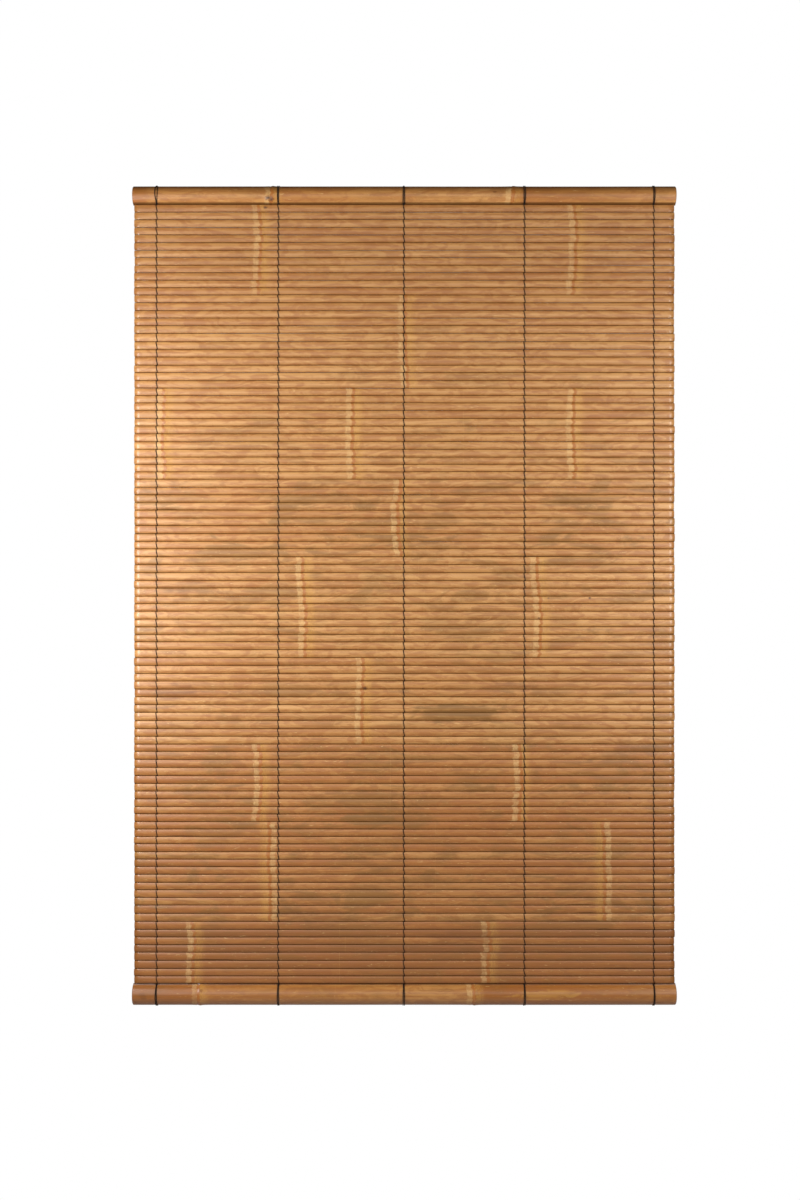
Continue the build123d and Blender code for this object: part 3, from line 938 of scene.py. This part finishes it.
def wrap_points(rail, side, cord_x, spreads, hand, knot):
    """One strand of a pair round a rail: from the knot up its front, over its far edge, along its open back
    and round its near edge to the knot again. side is 1 for the head rail and -1 for the bottom rail."""
    low, high = rail
    radius, z = (high.z - low.z) / 2, (high.z + low.z) / 2
    rim = high.y
    ring = radius + STRAND_PRESS
    near, middle, far = spreads

    def at(spread, y, up):
        return Vector((cord_x + hand * RAIL_SPREAD * spread, y, z + side * up))

    points = [knot + Vector((hand * KNOT_HALF, 0, 0))]
    for degrees in range(WRAP_START, WRAP_END + 1, WRAP_STEP):
        turn = math.radians(degrees)
        share = (degrees - WRAP_START) / (WRAP_END - WRAP_START)
        spread = near + (middle - near) * smooth(share * 2) + (far - middle) * smooth(share * 2 - 1)
        points.append(at(spread, rim - ring * math.cos(turn), ring * math.sin(turn)))
    points.append(at(far, rim + STRAND_PRESS * 0.75, radius + STRAND_PRESS * 0.7))
    for share in (0.0, 0.25, 0.5, 0.75, 1.0):
        points.append(at(far + (near - far) * share, rim + STRAND_PRESS, radius * (0.97 - 1.94 * share)))
    points.append(at(near, rim + STRAND_PRESS * 0.75, -radius - STRAND_PRESS * 0.7))
    points.append(at(near, rim - 0.001, -radius - STRAND_PRESS * 0.8))
    points.append(knot + Vector((hand * KNOT_HALF, 0.0008, 0)))
    return points


def knot_points(knot):
    """Turns of twine wound round the pair."""
    points = []
    steps = KNOT_TURNS * KNOT_STEPS
    for i in range(steps + 1):
        turn = math.tau * KNOT_TURNS * i / steps
        lift = KNOT_HEIGHT * (i / steps - 0.5)
        off = Vector((KNOT_RADIUS * math.cos(turn), KNOT_RADIUS * 0.8 * math.sin(turn), lift))
        points.append(knot + off)
    return points


def make_cord_piece(name, lines, twine_material):
    """Round strands along these lines, as one mesh."""
    curve = bpy.data.curves.new(name, "CURVE")
    curve.dimensions = "3D"
    curve.bevel_depth = STRAND_RADIUS
    curve.bevel_resolution = 1
    curve.use_fill_caps = True
    for line in lines:
        spline = curve.splines.new("POLY")
        spline.points.add(len(line) - 1)
        for point, place in zip(spline.points, line):
            point.co = (*place, 1)
        spline.use_smooth = True
    drawn = bpy.data.objects.new(name, curve)
    bpy.context.scene.collection.objects.link(drawn)
    mesh = bpy.data.meshes.new_from_object(drawn)
    bpy.data.objects.remove(drawn)
    bpy.data.curves.remove(curve)
    return new_object(name, mesh, [twine_material])


def make_cords(slats, head, foot, twine_material):
    """The five pairs, cut at the middles of slats into a piece for each hinge."""
    strays = {}
    for c in range(len(CORD_PLACES)):
        for gap in range(len(slats) + 1):
            strays[c, gap] = random.uniform(-STRAND_STRAY, STRAND_STRAY)
    middle_y = (slats[0].low.y + slats[0].high.y) / 2
    knot_y = slats[0].low.y + KNOT_DEPTH
    edges = [head[0].z] + [z for slat in slats for z in (slat.high.z, slat.low.z)] + [foot[1].z]

    def strand(c, hand):
        """Pieces of one strand's line: over each slat, from its top gap to its bottom gap."""
        lines = []
        for slat in slats:
            n = slat.number
            in_front = (n % 2 == 0) == (hand > 0)
            ends = []
            for gap, back in ((n - 1, not in_front), (n, in_front)):
                upper, lower = edges[2 * gap], edges[2 * gap + 1]
                ends.append(crossing(upper, lower, middle_y, CORD_PLACES[c], back, strays[c, gap]))
            lines.append(face_points(slat, ends[0], ends[1], in_front))
        return lines

    joints = {(joint["parent"], joint["child"]): joint for joint in frame["joints"]}
    strands = [(c, hand, strand(c, hand)) for c in range(len(CORD_PLACES)) for hand in (-1, 1)]
    first_of = {}
    for index, slat in enumerate(slats):
        first_of.setdefault(slat.body, index)
    for upper, lower in zip(CHAIN, CHAIN[1:]):
        lines = []
        for c, hand, over in strands:
            line = []
            if upper in first_of:
                index = first_of[upper]
                line += over[index][OVER_MIDDLE:]
                last = first_of.get(lower, len(slats))
                for between in range(index + 1, last):
                    line += over[between][1:]
            else:
                knot = Vector((CORD_PLACES[c], knot_y, head[0].z + KNOT_OVERLAP))
                lines.append(wrap_points(head, 1, CORD_PLACES[c], HEAD_SPREADS[c], hand, knot))
                line = [knot + Vector((0, 0, KNOT_HALF))]
                if hand > 0:
                    lines.append(knot_points(knot))
            if lower in first_of:
                line += over[first_of[lower]][1:OVER_MIDDLE + 1]
            else:
                knot = Vector((CORD_PLACES[c], knot_y, foot[1].z - KNOT_OVERLAP))
                lines.append(wrap_points(foot, -1, CORD_PLACES[c], FOOT_SPREADS[c], hand, knot))
                line.append(knot - Vector((0, 0, KNOT_HALF)))
                if hand > 0:
                    lines.append(knot_points(knot))
            lines.append(line)
        joint = joints[upper, lower]
        piece = make_cord_piece("cords_" + joint["name"], lines, twine_material)
        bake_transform(piece)
        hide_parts("warp_cords")


# ---------------------------------------------------------------- stage

def make_stage(bounds):
    """The camera, a pale floor below its view, the soft boxes, and a dim world that it sees as white."""
    low, high = Vector(bounds[0]), Vector(bounds[1])
    centre = (low + high) / 2
    aim = Vector((-AIM_LEFT, centre.y, centre.z - AIM_DOWN))
    camera_data = bpy.data.cameras.new("camera")
    camera_data.sensor_fit = "HORIZONTAL"
    camera_data.sensor_width = SENSOR_WIDTH
    camera_data.lens = SENSOR_WIDTH * CAMERA_DISTANCE / PICTURE_WIDTH
    camera = bpy.data.objects.new("camera", camera_data)
    camera.location = aim - Vector((0, CAMERA_DISTANCE, 0))
    camera.rotation_euler = (math.pi / 2, 0, 0)
    bpy.context.scene.collection.objects.link(camera)
    bpy.context.scene.camera = camera

    floor = bmesh.new()
    bmesh.ops.create_grid(floor, x_segments=1, y_segments=1, size=FLOOR_HALF)
    bmesh.ops.translate(floor, verts=floor.verts, vec=(0, -FLOOR_FORWARD, low.z - FLOOR_DROP))
    made, _, shader = material("studio_floor", 0.9)
    shader.inputs["Base Color"].default_value = FLOOR_PALE
    new_object("studio_floor", floor, [made])

    level = centre.z + LIGHT_RAISE
    for name, (x, y, up), (faced_x, faced_up), (width, height), watts in LIGHTS:
        light = bpy.data.lights.new(name, "AREA")
        light.shape = "RECTANGLE"
        light.size, light.size_y = width, height
        light.energy = watts
        box = bpy.data.objects.new(name, light)
        box.location = (x, y, level + up)
        facing = Vector((faced_x, 0, level + faced_up)) - box.location
        box.rotation_euler = facing.to_track_quat("-Z", "Y").to_euler()
        bpy.context.scene.collection.objects.link(box)

    world = bpy.data.worlds.new("studio")
    world.use_nodes = True
    net = Net(world.node_tree)
    dim, bright = world.node_tree.nodes["Background"], net.add("ShaderNodeBackground")
    dim.inputs["Color"].default_value = bright.inputs["Color"].default_value = (1, 1, 1, 1)
    dim.inputs["Strength"].default_value = WORLD_DIM
    seen = net.add("ShaderNodeLightPath").outputs["Is Camera Ray"]
    both = net.add("ShaderNodeMixShader", {0: seen, 1: dim.outputs[0], 2: bright.outputs[0]})
    net.tree.links.new(both.outputs[0], world.node_tree.nodes["World Output"].inputs["Surface"])
    bpy.context.scene.world = world
    bpy.context.scene.view_settings.view_transform = "Standard"


make_stage(CAD_BOX)
CHAIN = chain_of_bodies()
HEAD_BOX, FOOT_BOX = solids_of("head_rail")[0], solids_of("bottom_rail")[0]
SLAT_SKIN = bamboo_skin("slat_skin", SLAT_BUDS, SLAT_STAINS, 0.40, 0.45, 0.32)
RAIL_SCARS = [((x, 0, z), size * 1.6) for x, z, size, height in RAIL_BUDS]
RAIL_SKIN = bamboo_skin("rail_skin", RAIL_SCARS, RAIL_STAINS, 0.36, 0.18, 0.7)
SPLIT_FACE = bamboo_inner("split_bamboo")
SLATS = make_slats(CHAIN, [SLAT_SKIN, SPLIT_FACE])
make_rail("head_rail", "head", HEAD_WALL, HEAD_NODES, HEAD_TONES, RAIL_BUDS, [RAIL_SKIN, SPLIT_FACE])
make_rail("bottom_rail", "bottom_rail", FOOT_WALL, FOOT_NODES, FOOT_TONES, (), [RAIL_SKIN, SPLIT_FACE])
make_cords(SLATS, HEAD_BOX, FOOT_BOX, twine("twine"))
STEEL = zinc_steel("zinc_steel")
for node in ("hanger_plates", "hanger_screws"):
    for slot in frame["nodes"][node].material_slots:
        slot.material = STEEL
